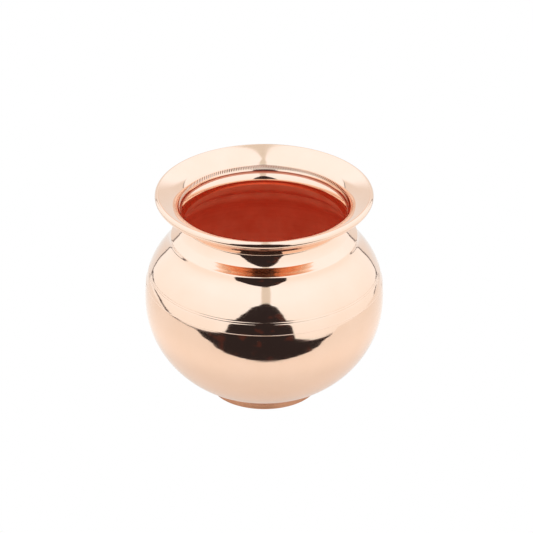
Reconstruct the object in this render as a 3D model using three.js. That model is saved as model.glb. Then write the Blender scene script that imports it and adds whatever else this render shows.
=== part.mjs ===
// Copper kalash (lota): a round-bellied water pot of thin spun sheet, in millimetres, +Z up.
// The origin is on the axis, at the surface that the foot ring stands on.
import * as THREE from 'three';

// ---- driving dimensions ----
const SEGMENTS = 64; // flats round each turned piece
const WALL = 0.7; // sheet thickness
const TURN_STEPS = 40; // small steps between two points of a bent line

const BELLY_RADIUS = 55;
const BELLY_HEIGHT = 47; // widest level
const BOWL_DEPTH = 48.5; // the lower curve, carried on to its pole
const BOWL_FULLNESS = 2.07; // its exponent: 2 is an ellipse, more is squarer
const SHOULDER_RISE = 40.4; // the upper curve, carried on to its pole
const SHOULDER_FULLNESS = 2.3;
const BOWL_START_RADIUS = 27.5; // where the bowl's curve leaves the base
const SHOULDER_END_RADIUS = 45.8; // where the shoulder's curve meets the step

const BELLY_SEAM_HEIGHT = 55.2; // lower of the two scribed lines
const BELLY_SEAM_WIDTH = 0.5;

// outer face from the shoulder up to the mouth ring: length, tilt of the face's outward normal above
// level at the stretch's start and at its end, and how many points it takes
const NECK_STRETCHES = [
  [3.1, 43.3, 33, 1],
  [2.3, 33, 9, 2], // fillet
  [1.2, 9, 7, 1], // upright step
  [0.7, 7, 52, 2], // its rounded edge
  [4.3, 52, 46, 2], // sloping shelf
  [0.7, 46, 31, 1],
  [4.5, 31, 11, 3], // hollow of the neck
  [0.9, 11, -15, 1], // waist
  [3.1, -15, -33, 2], // opening towards the mouth ring
];

const FLARE_START = [38.4, 91.5]; // upper face of the mouth ring, at the seam
const FLARE_STRETCHES = [ // as for the neck, but the face tilts back over the mouth
  [2.4, 162, 156, 1],
  [5.4, 156, 119, 3],
  [6.1, 119, 107, 2],
];
const LIP_TOP = 100; // highest point of the rolled lip
const LIP_RADIUS = 50.1; // and its widest
const LIP_STRETCHES = [ // as for the neck, from the flare's underside round to its upper face
  [1.3, -165, -165, 1],
  [1.35, -165, -62, 3],
  [2.9, -62, -16, 2],
  [1.67, -16, 33, 2],
  [1.55, 33, 114, 3],
];

const BASE_HEIGHT = 2.5; // underside of the flat base
const BASE_FLAT_RADIUS = 19;
const SEAT_INNER = [22.9, 2.8]; // the bowl's underside over the foot ring
const SEAT_OUTER = [25.1, 3.35];
const FOOT_OUTER_RADIUS = 24.9; // where it stands
const FOOT_WALL = 1.6;
const FOOT_TAPER = 0.4; // how far the ring leans in towards its top
const FOOT_RING_HEIGHT = 2.4;

// ---- outline helpers ----
const point = (radius, height) => new THREE.Vector2(radius, height);
const pointOf = ([radius, height]) => point(radius, height);

// Evenly spaced values from one number to another, both included.
const spread = (from, to, steps) =>
  Array.from({ length: steps + 1 }, (_, i) => from + ((to - from) * i) / steps);

// A point of the belly's superellipse: angle 0 is the widest level, and a negative rise goes down.
function bellyPoint(angle, rise, fullness) {
  const power = 2 / fullness;
  return point(BELLY_RADIUS * Math.cos(angle) ** power, BELLY_HEIGHT + rise * Math.sin(angle) ** power);
}

const angleAtRadius = (radius, fullness) => Math.acos((radius / BELLY_RADIUS) ** (fullness / 2));
const shoulderAngle = (height) =>
  Math.asin(((height - BELLY_HEIGHT) / SHOULDER_RISE) ** (SHOULDER_FULLNESS / 2));
const shoulderCurve = (from, to, steps) =>
  spread(from, to, steps).map((angle) => bellyPoint(angle, SHOULDER_RISE, SHOULDER_FULLNESS));

// A line that turns evenly along each stretch, going by (-sin tilt, cos tilt) at every small step.
function bent(start, stretches) {
  const line = [start];
  for (const [length, fromTilt, toTilt, points] of stretches) {
    for (let i = 0; i < points; i++) {
      const here = line.at(-1).clone();
      for (let j = 0; j < TURN_STEPS; j++) {
        const share = (i + (j + 0.5) / TURN_STEPS) / points;
        const tilt = THREE.MathUtils.degToRad(fromTilt + (toTilt - fromTilt) * share);
        const step = length / points / TURN_STEPS;
        here.x -= Math.sin(tilt) * step;
        here.y += Math.cos(tilt) * step;
      }
      line.push(here);
    }
  }
  return line;
}

// The inside of a sheet: each point moved by the wall thickness square to the outline.
function insideOf(outline) {
  return outline.map((here, i) => {
    const before = outline[Math.max(i - 1, 0)];
    const after = outline[Math.min(i + 1, outline.length - 1)];
    const along = after.clone().sub(before).normalize();
    return point(Math.max(here.x - along.y * WALL, 0), here.y + along.x * WALL);
  });
}

// ---- outlines of the pot, outside face, going up ----
function lowerOutline() {
  const bowlStart = angleAtRadius(BOWL_START_RADIUS, BOWL_FULLNESS);
  const bowl = spread(bowlStart, 0, 9).map((angle) => bellyPoint(angle, -BOWL_DEPTH, BOWL_FULLNESS));
  const seam = shoulderAngle(BELLY_SEAM_HEIGHT - BELLY_SEAM_WIDTH / 2);
  return [
    point(0, BASE_HEIGHT),
    point(BASE_FLAT_RADIUS, BASE_HEIGHT),
    pointOf(SEAT_INNER),
    pointOf(SEAT_OUTER),
    ...bowl,
    ...shoulderCurve(0, seam, 2).slice(1),
  ];
}

function upperOutline() {
  const seam = shoulderAngle(BELLY_SEAM_HEIGHT + BELLY_SEAM_WIDTH / 2);
  const shoulder = shoulderCurve(seam, angleAtRadius(SHOULDER_END_RADIUS, SHOULDER_FULLNESS), 4);
  return [...shoulder, ...bent(shoulder.at(-1), NECK_STRETCHES).slice(1)];
}

// The flare's upper face, followed outwards from the seam, so a bent line with its steps turned round.
function flareOutline() {
  const start = pointOf(FLARE_START);
  return bent(start, FLARE_STRETCHES).map((p) => start.clone().multiplyScalar(2).sub(p));
}

function mouthOutline() {
  const lip = bent(point(0, 0), LIP_STRETCHES);
  const shift = point(
    LIP_RADIUS - Math.max(...lip.map((p) => p.x)),
    LIP_TOP - Math.max(...lip.map((p) => p.y)),
  );
  lip.forEach((p) => p.add(shift));
  const over = flareOutline().reverse();
  const under = insideOf(over).reverse();
  return [
    ...under.filter((p) => p.x < lip[0].x - WALL),
    ...lip,
    ...over.filter((p) => p.x < lip.at(-1).x - WALL),
  ];
}

// ---- pieces ----
const polishedCopper = () =>
  new THREE.MeshStandardMaterial({ color: 0xe8b08a, roughness: 0.12, metalness: 1 });
const brazeAlloy = () =>
  new THREE.MeshStandardMaterial({ color: 0xc9755a, roughness: 0.4, metalness: 1 });

// A piece turned about +Z from its half section, listed anticlockwise with the radius to the right.
function turned(name, section, material) {
  const startsAndEndsOnAxis = section[0].x === 0 && section.at(-1).x === 0;
  const profile = startsAndEndsOnAxis ? section : [...section, section[0].clone()];
  const geometry = new THREE.LatheGeometry(profile, SEGMENTS);
  geometry.rotateX(Math.PI / 2);
  const mesh = new THREE.Mesh(geometry, material);
  mesh.name = name;
  return mesh;
}

function bodyPieces(lower, upper) {
  const outside = [...lower, ...upper];
  const inside = insideOf(outside);
  const stretch = (from, to) => [...outside.slice(from, to), ...inside.slice(from, to).reverse()];
  const cut = lower.length;
  return [
    turned('lower_bowl', stretch(0, cut), polishedCopper()),
    turned('belly_braze', stretch(cut - 1, cut + 1), brazeAlloy()),
    turned('upper_shell', stretch(cut, outside.length), polishedCopper()),
  ];
}

function mouthPieces(lower, upper) {
  const throatOutside = upper.at(-1);
  const throatInside = insideOf([...lower, ...upper]).at(-1);
  const mouth = mouthOutline();
  const braze = [throatOutside, mouth[0], mouth.at(-1), throatInside];
  return [
    turned('mouth_ring', mouth, polishedCopper()),
    turned('neck_braze', braze, brazeAlloy()),
  ];
}

function footPieces() {
  const topOuter = point(FOOT_OUTER_RADIUS - FOOT_TAPER, FOOT_RING_HEIGHT);
  const topInner = point(topOuter.x - FOOT_WALL, FOOT_RING_HEIGHT);
  const ring = [point(FOOT_OUTER_RADIUS - FOOT_WALL, 0), point(FOOT_OUTER_RADIUS, 0), topOuter, topInner];
  const braze = [topInner, topOuter, pointOf(SEAT_OUTER), pointOf(SEAT_INNER)];
  return [
    turned('foot_ring', ring, polishedCopper()),
    turned('foot_braze', braze, brazeAlloy()),
  ];
}

const lower = lowerOutline();
const upper = upperOutline();
const kalash = new THREE.Group();
kalash.add(...bodyPieces(lower, upper), ...mouthPieces(lower, upper), ...footPieces());

export default kalash;
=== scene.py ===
# A copper kalash, the round-bellied household water pot, spun from thin sheet.
# The CAD pieces fix its sizes; this script turns each one again as a fine surface and gives it its finish.

import math

import bpy
import numpy as np
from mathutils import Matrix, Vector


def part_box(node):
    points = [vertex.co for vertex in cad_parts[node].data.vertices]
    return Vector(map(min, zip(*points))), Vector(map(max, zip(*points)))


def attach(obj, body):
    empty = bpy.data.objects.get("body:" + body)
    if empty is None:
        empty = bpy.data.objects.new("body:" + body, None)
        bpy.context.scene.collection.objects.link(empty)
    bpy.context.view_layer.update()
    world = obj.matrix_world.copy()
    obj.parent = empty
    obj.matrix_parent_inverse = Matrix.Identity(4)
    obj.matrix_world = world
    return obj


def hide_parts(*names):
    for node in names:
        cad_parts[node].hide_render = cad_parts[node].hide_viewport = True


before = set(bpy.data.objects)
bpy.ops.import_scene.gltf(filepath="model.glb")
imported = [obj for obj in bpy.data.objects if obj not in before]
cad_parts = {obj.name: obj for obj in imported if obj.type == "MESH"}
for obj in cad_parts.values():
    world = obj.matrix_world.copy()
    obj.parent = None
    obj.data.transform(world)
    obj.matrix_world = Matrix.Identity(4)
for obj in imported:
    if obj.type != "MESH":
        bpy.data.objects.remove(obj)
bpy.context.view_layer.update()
mm = 0.001
print("kalash: frame loaded")


def toLinear(hexColour, brightness=1.0):
    # sRGB hex to linear: a dark channel is divided by 12.92, any other is raised to 2.4; then brightness
    channels = [int(hexColour[i:i + 2], 16) / 255 for i in (1, 3, 5)]
    linear = [c / 12.92 if c <= 0.04045 else ((c + 0.055) / 1.055) ** 2.4 for c in channels]
    return [brightness * c for c in linear] + [1.0]


def addNode(tree, kind, settings=None, **inputs):
    # one node with its settings; an input is a value, or a socket to link from
    node = tree.nodes.new("ShaderNode" + kind)
    for name, value in (settings or {}).items():
        setattr(node, name, value)
    for name, value in inputs.items():
        socket = node.inputs[int(name[1:])] if name[1:].isdigit() else node.inputs[name.replace("_", " ")]
        if isinstance(value, bpy.types.NodeSocket):
            tree.links.new(value, socket)
        else:
            socket.default_value = value
    return node


def newMaterial(name):
    material = bpy.data.materials.new(name)
    material.use_nodes = True
    material.node_tree.nodes.clear()
    return material, material.node_tree


def finishMaterial(tree, shader):
    output = tree.nodes.new("ShaderNodeOutputMaterial")
    tree.links.new(shader, output.inputs["Surface"])


def above(tree, value, edge, softness):
    # 0 where value is well below edge and 1 well above it, going smoothly over softness
    difference = addNode(tree, "Math", {"operation": "SUBTRACT"}, _0=value, _1=edge).outputs[0]
    return addNode(tree, "MapRange", {"clamp": True, "interpolation_type": "SMOOTHSTEP"}, Value=difference,
                   _1=-softness / 2, _2=softness / 2, _3=0.0, _4=1.0).outputs[0]


def below(tree, value, edge, softness):
    # the other way round: 1 where value is well below edge
    return above(tree, edge, value, softness)


def allOf(tree, *shares):
    # the shares multiplied: 1 only where every one of them is 1
    product = shares[0]
    for share in shares[1:]:
        product = addNode(tree, "Math", {"operation": "MULTIPLY"}, _0=product, _1=share).outputs[0]
    return product


def painted(tree, colour, *layers):
    # each layer (share, colour) covers what lies under it: under*(1 - share) + colour*share
    for share, over in layers:
        colour = addNode(tree, "Mix", {"data_type": "RGBA"}, _0=share, _6=colour, _7=over).outputs[2]
    return colour


def spinCoordinates(tree):
    # the position, then radius = sqrt(x*x + y*y) and height in millimetres, and the turns round the axis,
    # atan2(y, x)/(2*pi)
    position = addNode(tree, "TexCoord").outputs["Object"]
    parts = addNode(tree, "SeparateXYZ", Vector=position)
    x, y, z = (parts.outputs[i] for i in range(3))
    squareX = addNode(tree, "Math", {"operation": "MULTIPLY"}, _0=x, _1=x).outputs[0]
    squareSum = addNode(tree, "Math", {"operation": "MULTIPLY_ADD"}, _0=y, _1=y, _2=squareX).outputs[0]
    radius = addNode(tree, "Math", {"operation": "SQRT"}, _0=squareSum).outputs[0]
    radiusMm = addNode(tree, "Math", {"operation": "DIVIDE"}, _0=radius, _1=mm).outputs[0]
    heightMm = addNode(tree, "Math", {"operation": "DIVIDE"}, _0=z, _1=mm).outputs[0]
    angle = addNode(tree, "Math", {"operation": "ARCTAN2"}, _0=y, _1=x).outputs[0]
    turns = addNode(tree, "Math", {"operation": "DIVIDE"}, _0=angle, _1=2 * math.pi).outputs[0]
    return position, radiusMm, heightMm, turns


def spinRings(tree, radiusMm, heightMm, spacing):
    # rings round the axis: noise on radius and height only, one wave every spacing millimetres
    ringPlace = addNode(tree, "CombineXYZ", X=radiusMm, Y=heightMm, Z=0.0).outputs[0]
    return addNode(tree, "TexNoise", {"noise_dimensions": "2D"},
                   Vector=ringPlace, Scale=1 / spacing, Detail=2.0, Roughness=0.6).outputs["Fac"]


polished = {
    "copper": "#FBD3B9",  # pale pink of buffed copper
    "warmPatch": "#F6CBAE",  # where the buff has cut a little less
    "patchSize": 14.0,  # millimetres, as all lengths below
    "soot": "#3A2119",
    # (edge, softness) of the soot: how deep in a notch, 1 being its bottom, and how far up the notched band
    "sootDepth": (0.35, 0.5),
    "sootLow": (0.1, 0.3),
    "sootHigh": (0.85, 0.3),
    "roughness": 0.07,
    "ringSpacing": 1.1,  # between the spinning tool's marks
    "ringHeight": 0.0042,  # bump depth of those marks
    "fineSpacing": 0.35,
    "fineHeight": 0.0005,
}


def sootShare(tree, notches, patches, radiusMm, heightMm, turns):
    # Soot lies where cos(2*pi*(teeth*turns + lean*share)) is high, share being how far up the notched band
    # a point is. It fades out at the band's edges and is thinner where the patches are low.
    low, high = notches["toothHeights"]
    share = addNode(tree, "MapRange", {"clamp": False}, Value=heightMm, _1=low, _2=high).outputs[0]
    lean = addNode(tree, "Math", {"operation": "MULTIPLY"}, _0=share, _1=notches["toothLean"]).outputs[0]
    count = addNode(tree, "Math", {"operation": "MULTIPLY_ADD"}, _0=turns, _1=float(notches["teeth"]),
                    _2=lean).outputs[0]
    phase = addNode(tree, "Math", {"operation": "MULTIPLY"}, _0=count, _1=2 * math.pi).outputs[0]
    wave = addNode(tree, "Math", {"operation": "COSINE"}, _0=phase).outputs[0]
    thinning = addNode(tree, "MapRange", {"clamp": True}, Value=patches, _1=0.35, _2=0.6,
                       _3=0.55, _4=1.0).outputs[0]
    return allOf(tree, above(tree, share, *polished["sootLow"]), below(tree, share, *polished["sootHigh"]),
                 below(tree, radiusMm, notches["toothReach"], 1.0),
                 above(tree, wave, *polished["sootDepth"]), thinning)


def spunPolishedCopper(name, notches=None):
    # Sheet copper spun on a lathe and buffed: a mirror, with fine rings that comb the edges of reflections.
    # With notches it is also dark where polishing soot has stayed in the small oblique cuts at the throat.
    material, tree = newMaterial(name)
    position, radiusMm, heightMm, turns = spinCoordinates(tree)
    rings = spinRings(tree, radiusMm, heightMm, polished["ringSpacing"])
    fine = spinRings(tree, radiusMm, heightMm, polished["fineSpacing"])
    patches = addNode(tree, "TexNoise", Vector=position, Scale=1 / (polished["patchSize"] * mm),
                      Detail=3.0).outputs["Fac"]
    colour = painted(tree, toLinear(polished["copper"]), (patches, toLinear(polished["warmPatch"])))
    roughness = addNode(tree, "MapRange", Value=fine, _1=0.3, _2=0.7,
                        _3=polished["roughness"] * 0.8, _4=polished["roughness"] * 1.35).outputs[0]
    if notches:
        soot = sootShare(tree, notches, patches, radiusMm, heightMm, turns)
        colour = painted(tree, colour, (soot, toLinear(polished["soot"])))
    ringBump = addNode(tree, "Bump", Strength=1.0, Distance=polished["ringHeight"] * mm,
                       Height=rings).outputs[0]
    bump = addNode(tree, "Bump", Strength=1.0, Distance=polished["fineHeight"] * mm,
                   Height=fine, Normal=ringBump).outputs[0]
    shader = addNode(tree, "BsdfPrincipled", Base_Color=colour, Metallic=1.0,
                     Roughness=roughness, Normal=bump).outputs[0]
    finishMaterial(tree, shader)
    return material


fired = {
    "red": "#D05F3A",
    "paleRed": "#DC7450",
    "ringSpacing": 2.2,
    "stainSize": 11.0,
    "grainSize": 0.8,
    "grainHeight": 0.02,
    "roughness": 0.55,
}


def matteRedInside():
    # Copper left as it came from the fire and the pickle: a dull brick red oxide, so not a bare metal to the
    # eye, faintly ringed by the spinning and softly stained.
    material, tree = newMaterial("fired matte copper inside")
    position, radiusMm, heightMm = spinCoordinates(tree)[:3]
    rings = spinRings(tree, radiusMm, heightMm, fired["ringSpacing"])
    stains = addNode(tree, "TexNoise", Vector=position, Scale=1 / (fired["stainSize"] * mm),
                     Detail=5.0, Roughness=0.62).outputs["Fac"]
    mixed = addNode(tree, "Math", {"operation": "MULTIPLY_ADD"}, _0=rings, _1=0.35, _2=stains).outputs[0]
    share = addNode(tree, "MapRange", Value=mixed, _1=0.5, _2=0.85, _3=0.0, _4=1.0).outputs[0]
    colour = painted(tree, toLinear(fired["red"]), (share, toLinear(fired["paleRed"])))
    grain = addNode(tree, "TexNoise", Vector=position, Scale=1 / (fired["grainSize"] * mm),
                    Detail=3.0).outputs["Fac"]
    bump = addNode(tree, "Bump", Strength=0.5, Distance=fired["grainHeight"] * mm, Height=grain).outputs[0]
    shader = addNode(tree, "BsdfPrincipled", Base_Color=colour, Metallic=0.0, Roughness=fired["roughness"],
                     Normal=bump).outputs[0]
    finishMaterial(tree, shader)
    return material


brazing = {
    "bright": "#DB8F70",
    "dull": "#C97254",
    "grainSize": 1.6,
    "grainHeight": 0.03,
    "roughness": 0.38,
}


def brazedCopper():
    # Brazing filler dressed flush with the sheet: redder than the copper and satin, with a grainy run.
    material, tree = newMaterial("dressed copper braze")
    position = addNode(tree, "TexCoord").outputs["Object"]
    grain = addNode(tree, "TexNoise", Vector=position, Scale=1 / (brazing["grainSize"] * mm),
                    Detail=4.0).outputs["Fac"]
    colour = painted(tree, toLinear(brazing["bright"]), (grain, toLinear(brazing["dull"])))
    bump = addNode(tree, "Bump", Strength=0.6, Distance=brazing["grainHeight"] * mm, Height=grain).outputs[0]
    shader = addNode(tree, "BsdfPrincipled", Base_Color=colour, Metallic=1.0,
                     Roughness=brazing["roughness"], Normal=bump).outputs[0]
    finishMaterial(tree, shader)
    return material


satin = {
    "copper": "#DDA484",
    "darkPatch": "#C98D6C",
    "patchSize": 6.0,
    "lineSpacing": 0.55,  # between the turning tool's lines
    "lineHeight": 0.012,
    "roughness": (0.24, 0.4),
}


def turnedFootCopper():
    # The foot is turned and left from the tool: satin, deeper in colour, with clear turning lines.
    material, tree = newMaterial("turned satin copper foot")
    position, radiusMm, heightMm = spinCoordinates(tree)[:3]
    lines = spinRings(tree, radiusMm, heightMm, satin["lineSpacing"])
    patches = addNode(tree, "TexNoise", Vector=position, Scale=1 / (satin["patchSize"] * mm),
                      Detail=3.0).outputs["Fac"]
    colour = painted(tree, toLinear(satin["copper"]), (patches, toLinear(satin["darkPatch"])))
    smooth, rough = satin["roughness"]
    roughness = addNode(tree, "MapRange", Value=lines, _1=0.3, _2=0.7, _3=smooth, _4=rough).outputs[0]
    bump = addNode(tree, "Bump", Strength=1.0, Distance=satin["lineHeight"] * mm, Height=lines).outputs[0]
    shader = addNode(tree, "BsdfPrincipled", Base_Color=colour, Metallic=1.0, Roughness=roughness,
                     Normal=bump).outputs[0]
    finishMaterial(tree, shader)
    return material


copperOutside = spunPolishedCopper("spun polished copper")
copperInside = matteRedInside()
braze = brazedCopper()
footCopper = turnedFootCopper()
print("kalash: materials made")


# an outline is an array of (radius, height) in millimetres, going up the outside face
def arc(centre, radius, fromDegrees, toDegrees, steps):
    # part of a circle, angles from the outward direction towards up
    angle = np.radians(np.linspace(fromDegrees, toDegrees, steps + 1))
    return np.stack([centre[0] + radius * np.cos(angle), centre[1] + radius * np.sin(angle)], axis=1)


def along(outline):
    # distance travelled along the outline up to each point
    return np.concatenate([[0.0], np.cumsum(np.hypot(*np.diff(outline, axis=0).T))])


def respaced(outline, spacing):
    # the same line with points spacing apart, spacing being one number or one for each point
    travel = along(outline)
    density = np.broadcast_to(1 / np.asarray(spacing, float), travel.shape)
    count = np.concatenate([[0.0], np.cumsum((density[1:] + density[:-1]) / 2 * np.diff(travel))])
    steps = max(int(round(count[-1])), 1)
    travelNow = np.interp(np.linspace(0, count[-1], steps + 1), count, travel)
    return np.stack([np.interp(travelNow, travel, outline[:, i]) for i in (0, 1)], axis=1)


def outward(outline):
    # unit vectors square to the line, pointing away from the metal on an outline that goes up
    step = np.gradient(outline, axis=0)
    step /= np.maximum(np.hypot(step[:, :1], step[:, 1:]), 1e-12)
    return np.stack([step[:, 1], -step[:, 0]], axis=1)


def between(t, start, end, first, second):
    # straight from first, where t is start, to second, where t is end
    return (end - t) / (end - start) * first + (t - start) / (end - start) * second


def smoothThrough(points, steps):
    # a centripetal Catmull-Rom curve through a few points: three rounds of straight lines between them
    points = np.asarray(points, float)
    padded = np.vstack([2 * points[0] - points[1], points, 2 * points[-1] - points[-2]])
    knots = np.concatenate([[0.0], np.cumsum(np.hypot(*np.diff(padded, axis=0).T) ** 0.5)])
    pieces = []
    for i in range(1, len(padded) - 2):
        t = np.linspace(knots[i], knots[i + 1], steps, endpoint=False)[:, None]
        p, k = padded[i - 1:i + 3], knots[i - 1:i + 3]
        a = [between(t, k[j], k[j + 1], p[j], p[j + 1]) for j in range(3)]
        b = [between(t, k[j], k[j + 2], a[j], a[j + 1]) for j in range(2)]
        pieces.append(between(t, k[1], k[2], b[0], b[1]))
    return np.vstack(pieces + [points[-1:]])


def bent(start, stretches, spacing=0.02):
    # A line that turns steadily: over each stretch (length, tilt at its start, tilt at its end) the tilt of
    # the outward normal above level changes evenly, and each small step goes by (-sin tilt, cos tilt).
    steps = [np.zeros((1, 2))]
    for length, fromTilt, toTilt in stretches:
        count = max(int(round(length / spacing)), 1)
        tilt = np.radians(fromTilt + (toTilt - fromTilt) * (np.arange(count) + 0.5) / count)
        steps.append(np.stack([-np.sin(tilt), np.cos(tilt)], axis=1) * length / count)
    return np.asarray(start, float) + np.cumsum(np.vstack(steps), axis=0)


bowlBox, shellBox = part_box("lower_bowl"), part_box("upper_shell")
mouthBox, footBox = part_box("mouth_ring"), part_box("foot_ring")

body = {
    "segments": 360,  # round the axis
    "wall": 0.7,
    "radius": bowlBox[1].x / mm,
    "widest": 47.0,  # height of the widest level
    "bowlDepth": 48.5,
    "bowlFullness": 2.07,
    "shoulderRise": 40.4,
    "shoulderFullness": 2.30,
    "baseHeight": bowlBox[0].z / mm,
    "seamLow": bowlBox[1].z / mm,
    "seamHigh": shellBox[0].z / mm,
    "scribed": [(61.05, 0.2, 0.085), (60.15, 0.2, 0.085)],  # fine grooves: height, half width, depth
    "waves": [(3.1, 0.0022), (1.9, 0.0012), (5.3, 0.004)],  # the spinning tool's: length, height
}


def bellyCurve(angle, rise, fullness):
    # a superellipse: radius R*cos(angle)^(2/n), height above the widest level rise*sin(angle)^(2/n)
    return np.stack([body["radius"] * np.cos(angle) ** (2 / fullness),
                     body["widest"] + rise * np.sin(angle) ** (2 / fullness)], axis=1)


def bellyAngle(share, fullness):
    # the angle whose cosine, raised to 2/n, is share
    return math.acos(share ** (fullness / 2))


def heightAngle(height):
    # the angle whose sine, raised to 2/n, is the height's share of the shoulder's rise
    return math.asin(((height - body["widest"]) / body["shoulderRise"]) ** (body["shoulderFullness"] / 2))


def marked(outline, marks):
    # each mark is pressed in square to the surface, as a bell curve: depth*exp(-(distance/half width)^2)
    depth = sum(d * np.exp(-((outline[:, 1] - h) / w) ** 2) for h, w, d in marks)
    return outline - outward(outline) * depth[:, None]


def rippled(outline):
    # the spinning tool leaves the wall faintly wavy: a sum of sines of the distance along it, each starting
    # 1.7 radians on from the one before
    travel = along(outline)
    ripple = sum(a * np.sin(2 * np.pi * travel / w + 1.7 * i) for i, (w, a) in enumerate(body["waves"]))
    return outline + outward(outline) * ripple[:, None]


def turned(name, section, segments, materials, insideFrom=None, press=None):
    # The closed half section is carried round the axis: x = r*cos(a), y = r*sin(a), z = height.
    # It goes up the outside and down the inside; rows from insideFrom on take the second material.
    # press(radius, height, angle) may move the points square to the surface by so many millimetres.
    startsOnAxis, endsOnAxis = section[0, 0] == 0, section[-1, 0] == 0
    rows = section[int(startsOnAxis):len(section) - int(endsOnAxis)]
    angle = np.arange(segments) * 2 * np.pi / segments
    radius = np.repeat(rows[:, :1], segments, axis=1)
    height = np.repeat(rows[:, 1:], segments, axis=1)
    if press is not None:
        away = outward(section)[int(startsOnAxis):len(section) - int(endsOnAxis)]
        push = press(rows[:, :1], rows[:, 1:], angle[None, :])
        radius = radius + away[:, :1] * push
        height = height + away[:, 1:] * push
    points = np.stack([radius * np.cos(angle), radius * np.sin(angle), height], axis=2).reshape(-1, 3)
    ring = np.arange(len(rows) * segments).reshape(len(rows), segments)
    across = np.roll(ring, -1, axis=1)
    if startsOnAxis:
        quads = np.stack([ring[:-1], across[:-1], across[1:], ring[1:]], axis=2).reshape(-1, 4)
        rowOfQuad = np.repeat(np.arange(len(rows) - 1), segments)
    else:
        above, aboveAcross = np.roll(ring, -1, axis=0), np.roll(across, -1, axis=0)
        quads = np.stack([ring, across, aboveAcross, above], axis=2).reshape(-1, 4)
        rowOfQuad = np.repeat(np.arange(len(rows)), segments)
    triangles = np.zeros((0, 3), int)
    if startsOnAxis:
        poles = np.array([[0, 0, section[0, 1]], [0, 0, section[-1, 1]]])
        firstPole = len(points)
        points = np.vstack([points, poles])
        low = np.stack([np.full(segments, firstPole), across[0], ring[0]], axis=1)
        high = np.stack([ring[-1], across[-1], np.full(segments, firstPole + 1)], axis=1)
        triangles = np.vstack([low, high])
    mesh = bpy.data.meshes.new(name)
    corners = np.concatenate([quads.ravel(), triangles.ravel()])
    sizes = np.concatenate([np.full(len(quads), 4), np.full(len(triangles), 3)])
    mesh.vertices.add(len(points))
    mesh.vertices.foreach_set("co", (points * mm).astype(np.float32).ravel())
    mesh.loops.add(len(corners))
    mesh.loops.foreach_set("vertex_index", corners.astype(np.int32))
    mesh.polygons.add(len(sizes))
    mesh.polygons.foreach_set("loop_start", np.concatenate([[0], np.cumsum(sizes)[:-1]]).astype(np.int32))
    mesh.polygons.foreach_set("use_smooth", np.ones(len(sizes), bool))
    for material in materials:
        mesh.materials.append(material)
    if insideFrom is not None:
        side = np.concatenate([(rowOfQuad + int(startsOnAxis) >= insideFrom).astype(np.int32),
                               np.zeros(segments if startsOnAxis else 0, np.int32),
                               np.ones(segments if startsOnAxis else 0, np.int32)])
        mesh.polygons.foreach_set("material_index", side)
    mesh.update(calc_edges=True)
    mesh.validate()
    mesh.set_sharp_from_angle(angle=math.radians(60))
    piece = bpy.data.objects.new(name, mesh)
    bpy.context.scene.collection.objects.link(piece)
    return piece


def standIn(piece, slot, *nodes):
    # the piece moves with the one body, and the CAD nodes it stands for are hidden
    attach(piece, "root")
    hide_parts(*nodes)
    return piece


def inside(outline, wall):
    # the inner face of the sheet: the outline moved in by the wall thickness, never past the axis
    moved = outline - outward(outline) * wall
    moved[:, 0] = np.maximum(moved[:, 0], 0.0)
    return moved


bowl = {
    "startRadius": 27.5,  # where the round wall leaves the base
    "baseFlatRadius": 19.0,
    "seatInner": (22.9, 2.8),
    "seatOuter": (25.1, 3.35),
    # scribed lines: height, half width, depth
    "marks": [(9.4, 0.2, 0.07), (7.6, 0.2, 0.09), (13.6, 0.2, 0.03), (11.9, 0.2, 0.03)],
    "markReach": 0.45,  # the grid is fine this near to a mark
    "fineSpacing": 0.1,
    "wallSpacing": 0.5,
    "baseSpacing": 1.6,
    "innerWallSpacing": 1.1,
    "innerSpacing": 1.3,
}


def bowlOutline():
    # the flat base and the seat of the foot ring, and then the superellipse up to the belly seam
    startAngle = bellyAngle(bowl["startRadius"] / body["radius"], body["bowlFullness"])
    wall = bellyCurve(np.linspace(startAngle, 0, 400), -body["bowlDepth"], body["bowlFullness"])
    top = bellyCurve(np.linspace(0, heightAngle(body["seamLow"]), 120)[1:], body["shoulderRise"],
                     body["shoulderFullness"])
    base = smoothThrough([(0, body["baseHeight"]), (bowl["baseFlatRadius"], body["baseHeight"]),
                          bowl["seatInner"], bowl["seatOuter"], wall[0]], 12)[:-1]
    return respaced(base, bowl["baseSpacing"]), np.vstack([wall, top])


def buildBowl():
    # turned from its outline, with marks and waves outside, closed at both poles
    base, wall = bowlOutline()
    toMark = np.min([abs(wall[:, 1] - height) for height, width, depth in bowl["marks"]], axis=0)
    spacing = np.where(toMark < bowl["markReach"], bowl["fineSpacing"], bowl["wallSpacing"])
    wallOutside = marked(rippled(respaced(wall, spacing)), bowl["marks"])
    outside = np.vstack([base, wallOutside])
    innerLine = respaced(np.vstack([base, respaced(wall, bowl["innerWallSpacing"])]), bowl["innerSpacing"])
    innerLine = inside(innerLine, body["wall"])[::-1]
    innerLine[-1, 0] = 0.0
    section = np.vstack([outside, innerLine])
    section[0, 0] = 0.0
    piece = turned("bowl", section, body["segments"], [copperOutside, copperInside],
                   insideFrom=len(outside) - 1)
    return standIn(piece, "polished_copper", "lower_bowl")


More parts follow.
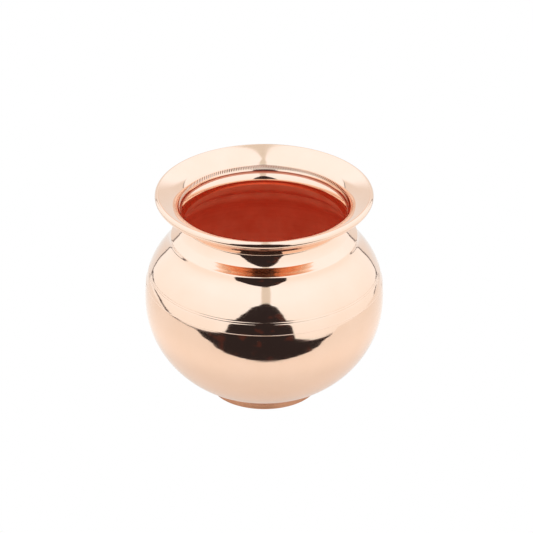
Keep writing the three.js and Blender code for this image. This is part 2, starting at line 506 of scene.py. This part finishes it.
neck = {
    "shoulderEnd": 45.8,
    # from the shoulder up to the mouth ring: length, tilt at the start, tilt at the end
    "stretches": [
        (3.1, 43.3, 33),
        (2.3, 33, 9),  # fillet
        (1.2, 9, 7),  # upright step
        (0.7, 7, 52),  # its rounded edge
        (4.3, 52, 46),  # sloping shelf
        (0.7, 46, 31),
        (4.5, 31, 11),  # hollow of the neck
        (0.9, 11, -15),  # waist
        (3.1, -15, -33),  # opening towards the mouth ring
    ],
    "polishEnd": 85.9,  # the buff reached down to here inside the throat
    "stepHeight": 73.0,  # above here the grid is fine, for the step and the hollow of the neck
    "stepSpacing": 0.2,
    "scribedMiddle": 60.6,
    "scribedReach": 1.0,
    "scribedSpacing": 0.09,
    "wallSpacing": 0.34,
    "innerSpacing": 0.6,
}


def shellOutline():
    # the superellipse from the belly seam to the shoulder's end, and then the bent line of the neck
    endAngle = bellyAngle(neck["shoulderEnd"] / body["radius"], body["shoulderFullness"])
    shoulder = bellyCurve(np.linspace(heightAngle(body["seamHigh"]), endAngle, 300), body["shoulderRise"],
                          body["shoulderFullness"])
    return np.vstack([shoulder[:-1], bent(shoulder[-1], neck["stretches"])])


def buildShell():
    # turned from its outline, scribed and waved outside; inside, polished down to polishEnd
    line = shellOutline()
    nearScribed = abs(line[:, 1] - neck["scribedMiddle"]) < neck["scribedReach"]
    spacing = np.where(nearScribed, neck["scribedSpacing"], neck["wallSpacing"])
    spacing = np.where(line[:, 1] > neck["stepHeight"], neck["stepSpacing"], spacing)
    outside = marked(rippled(respaced(line, spacing)), body["scribed"])
    innerLine = inside(respaced(line, neck["innerSpacing"]), body["wall"])[::-1]
    polishRows = int((innerLine[:, 1] > neck["polishEnd"]).sum())
    section = np.vstack([outside, innerLine])
    piece = turned("shoulder_and_neck", section, body["segments"], [copperOutside, copperInside],
                   insideFrom=len(outside) + polishRows)
    return standIn(piece, "polished_copper", "upper_shell")


mouth = {
    "start": (38.4, 91.5),  # upper face where the flare leaves the neck seam
    # the flare's upper face from there out to the lip, as for the neck but tilting back over the mouth
    "flare": [(2.4, 162, 156), (5.4, 156, 119), (6.1, 119, 107)],
    # the rolled lip, from the flare's underside round to its upper face: length, tilt, tilt
    "lip": [(1.3, -165, -165), (1.35, -165, -62), (2.9, -62, -16), (1.67, -16, 33), (1.55, 33, 114)],
    "teeth": 210,  # oblique notches pressed round the seam
    "toothHeights": (92.2, 93.8),
    "toothDepth": 0.26,
    "toothLean": 0.55,  # how many teeth each notch leans over its own height
    "toothReach": 43.0,  # none beyond this radius, on the flare's underside
    "lowHeight": 95.0,  # below here the grid is fine, for the notches
    "lowSpacing": 0.26,
    "lipSpacing": 0.3,
    "flareSpacing": 1.2,
    "segments": 1260,
}


def mouthOutline():
    # the flare's upper face is a bent line followed outwards, so its steps go the other way
    over = 2 * np.array(mouth["start"]) - bent(mouth["start"], mouth["flare"])
    under = over + outward(over) * body["wall"]
    lip = bent((0, 0), mouth["lip"])
    lip += (mouthBox[1].x / mm, mouthBox[1].z / mm) - lip.max(axis=0)
    return under[under[:, 0] < lip[0, 0]], lip, over[over[:, 0] < lip[-1, 0]][::-1]


def teeth(radius, height, angle):
    # oblique notches: the upper half of cos(teeth*angle + 2*pi*lean*share), faded by sin(pi*share)^0.7, where
    # share is how far up the band a point is
    low, high = mouth["toothHeights"]
    share = np.clip((height - low) / (high - low), 0, 1)
    fade = np.sin(np.pi * share) ** 0.7 * (radius < mouth["toothReach"])
    wave = np.cos(mouth["teeth"] * angle + 2 * np.pi * mouth["toothLean"] * share)
    return -mouth["toothDepth"] * fade * np.clip(wave, 0, 1)


def flareSpaced(line):
    # fine where the notches are, coarse above them
    isLow = line[:, 1] < mouth["lowHeight"]
    return respaced(line, np.where(isLow, mouth["lowSpacing"], mouth["flareSpacing"]))


def buildMouth():
    # turned from the flare's underside, the lip and the flare's upper face, with the notches pressed in
    under, lip, over = mouthOutline()
    section = np.vstack([flareSpaced(under), respaced(lip, mouth["lipSpacing"]), flareSpaced(over)])
    notched = spunPolishedCopper("polished copper with sooty notches", mouth)
    piece = turned("mouth_ring_turned", section, mouth["segments"], [notched], press=teeth)
    return standIn(piece, "polished_copper", "mouth_ring")


seams = {
    "rows": 9,  # points across the belly seam's face
    "proud": 0.1,  # how far its middle stands out
    "fillet": 0.12,  # how far the neck seam's inner face bulges into the throat
    "steps": 5,
}


def buildBellySeam():
    # the brazed line round the belly, buffed with the sheet: its face stands out by proud*sin(pi*share)
    low, high = body["seamLow"], body["seamHigh"]
    face = bellyCurve(np.linspace(heightAngle(low), heightAngle(high), seams["rows"]), body["shoulderRise"],
                      body["shoulderFullness"])
    proud = seams["proud"] * np.sin(np.linspace(0, np.pi, seams["rows"]))
    section = np.vstack([face + outward(face) * proud[:, None], inside(face, body["wall"])[::-1]])
    piece = turned("belly_seam", section, body["segments"], [copperOutside, copperInside],
                   insideFrom=seams["rows"] - 1)
    return standIn(piece, "braze", "belly_braze")


def buildNeckSeam():
    # a ring between the shell's top and the mouth ring, its faces smooth curves from one to the other
    under, lip, over = mouthOutline()
    throat = shellOutline()[-2:]
    throatInside = inside(throat, body["wall"])[-1]
    outerFace = smoothThrough([throat[-1], (throat[-1] + under[0]) / 2, under[0]], seams["steps"])
    innerMiddle = (over[-1] + throatInside) / 2 + (seams["fillet"], 0.0)
    innerFace = smoothThrough([over[-1], innerMiddle, throatInside], seams["steps"])
    section = np.vstack([outerFace, innerFace])
    piece = turned("neck_seam", section, body["segments"], [braze])
    return standIn(piece, "braze", "neck_braze")


foot = {
    "outer": footBox[1].x / mm,
    "wall": 1.6,
    "taper": 0.4,
    "height": footBox[1].z / mm,
    "rounding": 0.25,
}


def buildFoot():
    # rounded at its two lower edges; its outer face leans in by taper from there to its top
    outer, high, low = foot["outer"], foot["height"], footBox[0].z / mm
    inner, rounding = outer - foot["wall"], foot["rounding"]
    share = np.linspace(0.1, 1, 14)
    section = np.vstack([
        arc((inner + rounding, low + rounding), rounding, 180, 270, 4),
        arc((outer - rounding, low + rounding), rounding, -90, 0, 4),
        np.stack([outer - foot["taper"] * share, low + rounding + (high - rounding - low) * share], axis=1),
        [(inner - foot["taper"], high)],
    ])
    piece = turned("foot_ring_turned", section, body["segments"], [footCopper])
    return standIn(piece, "polished_copper", "foot_ring")


def buildFootSeam():
    # a ring of four corners, between the foot ring's top and the bowl's seat
    outer = foot["outer"] - foot["taper"]
    inner, high = outer - foot["wall"], foot["height"]
    section = np.array([(inner, high), (outer, high), bowl["seatOuter"], bowl["seatInner"]])
    piece = turned("foot_seam", section, body["segments"], [footCopper])
    return standIn(piece, "braze", "foot_braze")


buildBowl()
buildShell()
buildMouth()
buildBellySeam()
buildNeckSeam()
buildFoot()
buildFootSeam()
print("kalash: pieces turned")


# a small white light tent with its front open, and a white sheet of paper
studio = {
    "tentRadius": 230.0,
    "tentCentre": 55.0,  # height of its middle
    "paperFront": -104.0,  # the paper's front edge
    "paperTurn": 3.0,  # degrees
    "paperLevel": -0.05,
    "paper": "#AAA8A5",
    "paperGlow": ("#FAFCFA", 0.571),
    "floorLevel": -0.1,
    "floorReach": 4000.0,
    "softboxHeight": 262.0,
    "softboxSize": 70.0,
    "softboxSpread": 60.0,
    "softboxWatts": 0.05,
    # lit cloth, and what shows where it is open: colour and brightness
    "panelTop": ("#D9ECFC", 1.645),
    "panelLow": ("#E8F5FC", 1.303),
    "backWall": ("#EEF8FE", 1.052),
    "gap": ("#F1FDFE", 0.908),
    "room": ("#302D30", 1.0),
    "roomWarm": ("#4B322F", 1.0),  # a reddish thing or two in the room
    "seam": ("#615D61", 1.0),
    # From here on in degrees: turn is round from the front, positive to the right, and lift is above level.
    # A pair is an edge and the softness of it.
    "panelLift": (-15.0, 40.0),  # where the panels' low and top colours are
    "edgeSoftness": 0.8,
    "edgeLift": (-20, 40),
    "edgeTurn": (-5, 45),
    # half angle of the front opening left and right of the lens: (lift, turn)
    "leftEdge": [(-20, 40), (-10, 36), (-5, 31.5), (4, 29), (10.5, 24.5), (21, 18), (29.5, 11.5),
                 (33, 6.5), (37.5, -1)],
    "rightEdge": [(-20, 29), (-13, 25.5), (-5.5, 24), (2.5, 22.5), (11.5, 18.5), (22, 15.5), (30, 11.5),
                  (34, 7), (37.5, 3)],
    "openingTop": (36.5, 3.0),
    # lower edge of the side panels: (turn, lift)
    "lowerEdge": [(-180, -8), (-116, -9.5), (-72, -14), (-56, -13.5), (-38, -10.5), (-30, -8),
                  (25, -14.5), (36, -17.5), (47, -19), (60, -18.5), (86, -19), (108, -16.5),
                  (136, -9.5), (180, -8)],
    "openBelow": (66.0, 1.0),  # the tent is open under the panels this far round to either side
    "backWallTurn": (134.0, 2.0),  # the back wall starts this far round
    "backWallTop": (38.0, 8.0),
    "poleTurn": 133.5,
    "poleTop": (36.0, 18.0),
    "poleHalfWidth": (0.9, 1.2),
    "seamHalfWidth": (1.0, 0.6),
    "gapLift": (33.0, 1.0),  # the gap between the two top panels starts this high
    # its left and right sides where its width is 1, as shares of the tent's radius, and its width at two
    # values of the direction's y
    "gapLeft": (-0.035, 0.025),
    "gapRight": (0.08, 0.025),
    "gapWidths": [(-0.62, 1.1), (-0.25, 0.32)],
    "warmFrom": (0.64, 0.12),  # the noise above this is a reddish thing
}


def lineThrough(tree, points, fromRange, toRange, value):
    # a smooth line through a few points: value, held to fromRange, gives a number in toRange
    scaled = addNode(tree, "MapRange", {"clamp": True}, Value=value, _1=fromRange[0], _2=fromRange[1],
                     _3=0.0, _4=1.0).outputs[0]
    node = addNode(tree, "FloatCurve", Value=scaled)
    curve = node.mapping.curves[0]
    while len(curve.points) < len(points):
        curve.points.new(0.5, 0.5)
    for point, (x, y) in zip(curve.points, points):
        point.location = ((x - fromRange[0]) / (fromRange[1] - fromRange[0]),
                          (y - toRange[0]) / (toRange[1] - toRange[0]))
        point.handle_type = "AUTO_CLAMPED"
    node.mapping.update()
    return addNode(tree, "MapRange", Value=node.outputs[0], _1=0.0, _2=1.0,
                   _3=toRange[0], _4=toRange[1]).outputs[0]


def distanceFrom(tree, value, middle):
    # |value - middle|
    difference = addNode(tree, "Math", {"operation": "SUBTRACT"}, _0=value, _1=middle).outputs[0]
    return addNode(tree, "Math", {"operation": "ABSOLUTE"}, _0=difference).outputs[0]


def tentDirection(tree):
    # the unit direction from the tent's centre, its x and y, and in degrees turn = atan2(x, -y) and
    # lift = asin(z)
    position = addNode(tree, "TexCoord").outputs["Object"]
    fromCentre = addNode(tree, "VectorMath", {"operation": "SUBTRACT"}, _0=position,
                         _1=(0.0, 0.0, studio["tentCentre"] * mm)).outputs[0]
    direction = addNode(tree, "VectorMath", {"operation": "NORMALIZE"}, _0=fromCentre).outputs[0]
    parts = addNode(tree, "SeparateXYZ", Vector=direction)
    x, y, z = (parts.outputs[i] for i in range(3))
    towardsFront = addNode(tree, "Math", {"operation": "MULTIPLY"}, _0=y, _1=-1.0).outputs[0]
    angles = [addNode(tree, "Math", {"operation": "ARCTAN2"}, _0=x, _1=towardsFront).outputs[0],
              addNode(tree, "Math", {"operation": "ARCSINE"}, _0=z).outputs[0]]
    turn, lift = [addNode(tree, "Math", {"operation": "DEGREES"}, _0=angle).outputs[0] for angle in angles]
    return direction, x, y, turn, lift


def frontOpening(tree, turn, lift):
    # 1 between the opening's left and right edges and below its top
    softness = studio["edgeSoftness"]
    left, right = [lineThrough(tree, studio[edge], studio["edgeLift"], studio["edgeTurn"], lift)
                   for edge in ("leftEdge", "rightEdge")]
    leftTurn = addNode(tree, "Math", {"operation": "MULTIPLY"}, _0=left, _1=-1.0).outputs[0]
    return allOf(tree, above(tree, turn, leftTurn, softness), below(tree, turn, right, softness),
                 below(tree, lift, *studio["openingTop"]))


def topGap(tree, x, y, lift):
    # 1 between two values of x divided by a width, which narrows towards the back
    (nearY, nearWidth), (farY, farWidth) = studio["gapWidths"]
    width = addNode(tree, "MapRange", {"clamp": True}, Value=y, _1=nearY, _2=farY,
                    _3=nearWidth, _4=farWidth).outputs[0]
    across = addNode(tree, "Math", {"operation": "DIVIDE"}, _0=x, _1=width).outputs[0]
    return allOf(tree, above(tree, across, *studio["gapLeft"]), below(tree, across, *studio["gapRight"]),
                 above(tree, lift, *studio["gapLift"]))


def tentLight():
    # Thin white cloth lit from outside, bluer and brighter towards the top, with dark seams and poles and a
    # dim room where it is open: this is what the polished copper mirrors.
    material, tree = newMaterial("lit tent cloth")
    direction, x, y, turn, lift = tentDirection(tree)
    low, high = studio["panelLift"]
    height = addNode(tree, "MapRange", {"clamp": True}, Value=lift, _1=low, _2=high,
                     _3=0.0, _4=1.0).outputs[0]
    turnSize = distanceFrom(tree, turn, 0.0)
    behind = allOf(tree, above(tree, turnSize, *studio["backWallTurn"]),
                   below(tree, lift, *studio["backWallTop"]))
    lowerEdge = lineThrough(tree, studio["lowerEdge"], (-180, 180), (-30, 0), turn)
    offLower = distanceFrom(tree, lift, lowerEdge)
    seam = allOf(tree, below(tree, offLower, *studio["seamHalfWidth"]),
                 below(tree, turnSize, *studio["backWallTurn"]))
    offPole = distanceFrom(tree, turnSize, studio["poleTurn"])
    pole = allOf(tree, below(tree, offPole, *studio["poleHalfWidth"]), below(tree, lift, *studio["poleTop"]))
    openBelow = allOf(tree, below(tree, lift, lowerEdge, studio["edgeSoftness"]),
                      below(tree, turnSize, *studio["openBelow"]))
    colours = {name: toLinear(*studio[name])
               for name in ("panelTop", "panelLow", "backWall", "gap", "room", "roomWarm", "seam")}
    patches = addNode(tree, "TexNoise", Vector=direction, Scale=6.0, Detail=2.0).outputs["Fac"]
    room = painted(tree, colours["room"], (above(tree, patches, *studio["warmFrom"]), colours["roomWarm"]))
    light = painted(tree, colours["panelLow"], (height, colours["panelTop"]), (behind, colours["backWall"]),
                    (topGap(tree, x, y, lift), colours["gap"]), (seam, colours["seam"]),
                    (pole, colours["seam"]), (frontOpening(tree, turn, lift), room), (openBelow, room))
    shader = addNode(tree, "Emission", Color=light, Strength=1.0).outputs[0]
    finishMaterial(tree, shader)
    return material


def buildTent():
    # a sphere on a grid of lift and turn angles, closed at both poles
    lift = np.radians(np.linspace(-88, 90, 61))
    outline = np.stack([np.cos(lift), np.sin(lift)], axis=1) * studio["tentRadius"]
    outline[:, 1] += studio["tentCentre"]
    outline[0, 0] = outline[-1, 0] = 0.0
    tent = turned("light_tent", outline, 120, [tentLight()])
    tent.visible_camera = False


def whitePaper():
    # Matt white paper with light coming through it from below: it scatters some light and glows a little.
    material, tree = newMaterial("white paper")
    diffuse = addNode(tree, "BsdfDiffuse", Color=toLinear(studio["paper"])).outputs[0]
    glow = addNode(tree, "Emission", Color=toLinear(*studio["paperGlow"]), Strength=1.0).outputs[0]
    shader = addNode(tree, "AddShader", _0=diffuse, _1=glow).outputs[0]
    finishMaterial(tree, shader)
    return material


def plainWhite():
    # an even white that no shadow falls on
    material, tree = newMaterial("plain white floor")
    shader = addNode(tree, "Emission", Color=toLinear("#FFFFFF"), Strength=1.0).outputs[0]
    finishMaterial(tree, shader)
    return material


def flatSheet(name, corners, material):
    # one flat face through the corners, given in millimetres
    mesh = bpy.data.meshes.new(name)
    mesh.from_pydata((np.asarray(corners) * mm).tolist(), [], [list(range(len(corners)))])
    mesh.materials.append(material)
    sheet = bpy.data.objects.new(name, mesh)
    bpy.context.scene.collection.objects.link(sheet)
    return sheet


def buildPaper():
    # the part of a disc that lies behind the paper's straight front edge, turned a little
    reach = math.sqrt(studio["tentRadius"] ** 2 - studio["tentCentre"] ** 2)
    cut = math.asin(studio["paperFront"] / reach)
    angle = np.linspace(cut, math.pi - cut, 90)
    turn = math.radians(studio["paperTurn"])
    x, y = reach * np.cos(angle), reach * np.sin(angle)
    corners = np.stack([x * math.cos(turn) - y * math.sin(turn), x * math.sin(turn) + y * math.cos(turn),
                        np.full(len(x), studio["paperLevel"])], axis=1)
    paper = flatSheet("paper", corners, whitePaper())
    paper.visible_camera = False


def buildFloor():
    # a wide square that only the camera sees, so that it neither lights nor shades the pot
    far, level = studio["floorReach"], studio["floorLevel"]
    corners = [(-far, -far, level), (far, -far, level), (far, far, level), (-far, far, level)]
    floor = flatSheet("floor", corners, plainWhite())
    for kind in ("diffuse", "glossy", "transmission", "shadow"):
        setattr(floor, "visible_" + kind, False)


def buildMouthLight():
    # a soft round light over the mouth, for the inside of the pot only: mirrors do not show it
    light = bpy.data.lights.new("overhead softbox", "AREA")
    light.shape, light.size = "DISK", studio["softboxSize"] * mm
    light.energy = studio["softboxWatts"]
    light.spread = math.radians(studio["softboxSpread"])
    lamp = bpy.data.objects.new("overhead softbox", light)
    lamp.location = (0.0, 0.0, studio["softboxHeight"] * mm)
    lamp.visible_camera = lamp.visible_glossy = False
    bpy.context.scene.collection.objects.link(lamp)


def whiteWorld():
    world = bpy.data.worlds.new("white background")
    world.use_nodes = True
    world.node_tree.nodes["Background"].inputs["Color"].default_value = toLinear("#FFFFFF")
    bpy.context.scene.world = world


buildTent()
buildMouthLight()
buildPaper()
buildFloor()
whiteWorld()
print("kalash: studio set")


lens = {
    "elevation": 28.2,
    "distance": 2200.0,
    "length": 322.6,
    "sensor": 36.0,
    "aim": (1.06, 0.0, 61.55),
    "sees": 20.0,  # metres
}


def buildCamera():
    # it stands at aim + distance*(0, -cos(elevation), sin(elevation)) and looks back at aim
    data = bpy.data.cameras.new("camera")
    data.lens, data.sensor_width = lens["length"], lens["sensor"]
    data.clip_end = lens["sees"]
    camera = bpy.data.objects.new("camera", data)
    bpy.context.scene.collection.objects.link(camera)
    up = math.radians(lens["elevation"])
    aim = np.array(lens["aim"])
    camera.location = (aim + lens["distance"] * np.array([0, -math.cos(up), math.sin(up)])) * mm
    camera.rotation_euler = (math.pi / 2 - up, 0, 0)
    bpy.context.scene.camera = camera


buildCamera()
bpy.context.scene.view_settings.view_transform = "Standard"

print("kalash: ready")
